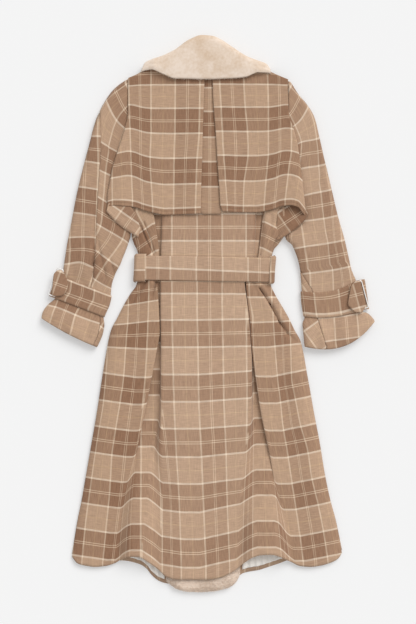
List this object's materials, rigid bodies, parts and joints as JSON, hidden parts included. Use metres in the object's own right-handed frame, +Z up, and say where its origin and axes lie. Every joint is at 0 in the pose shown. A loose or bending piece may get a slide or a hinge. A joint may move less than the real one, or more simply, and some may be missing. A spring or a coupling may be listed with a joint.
{
  "type": "oversized coat",
  "caption": "Long belted oversized coat in checked wool with fur collar, back storm flap and strapped sleeves, laid flat with its back up.",
  "frame": {"origin": "centre of the bounding box, on the surface that the coat lies on", "axes": "+Y from hem to collar, +Z up from the surface, +X towards the wearer's right side, with the coat's back uppermost"},
  "size_m": [0.798, 1.3324, 0.0333],
  "materials": {
    "wool": "brushed wool in a beige, brown and cream check",
    "lining": "satin",
    "fur": "short dense fur",
    "metal": "satin"
  },
  "bodies": {
    "root": {"back": "wool", "front_left": "wool", "front_right": "wool", "storm_flap_left": "wool", "storm_flap_right": "wool", "storm_flap_pleat": "wool", "sleeve_left_upper": "wool", "sleeve_left_under": "wool", "sleeve_right_upper": "wool", "sleeve_right_under": "wool", "sleeve_strap_left": "wool", "sleeve_strap_right": "wool", "strap_end_left": "wool", "strap_end_right": "wool", "belt": "wool", "belt_loop_left": "wool", "belt_loop_right": "wool", "lining_left": "lining", "lining_right": "lining", "fur_facing": "fur", "collar": "fur", "buckle_left": "metal", "buckle_right": "metal"}
  },
  "joints": []
}
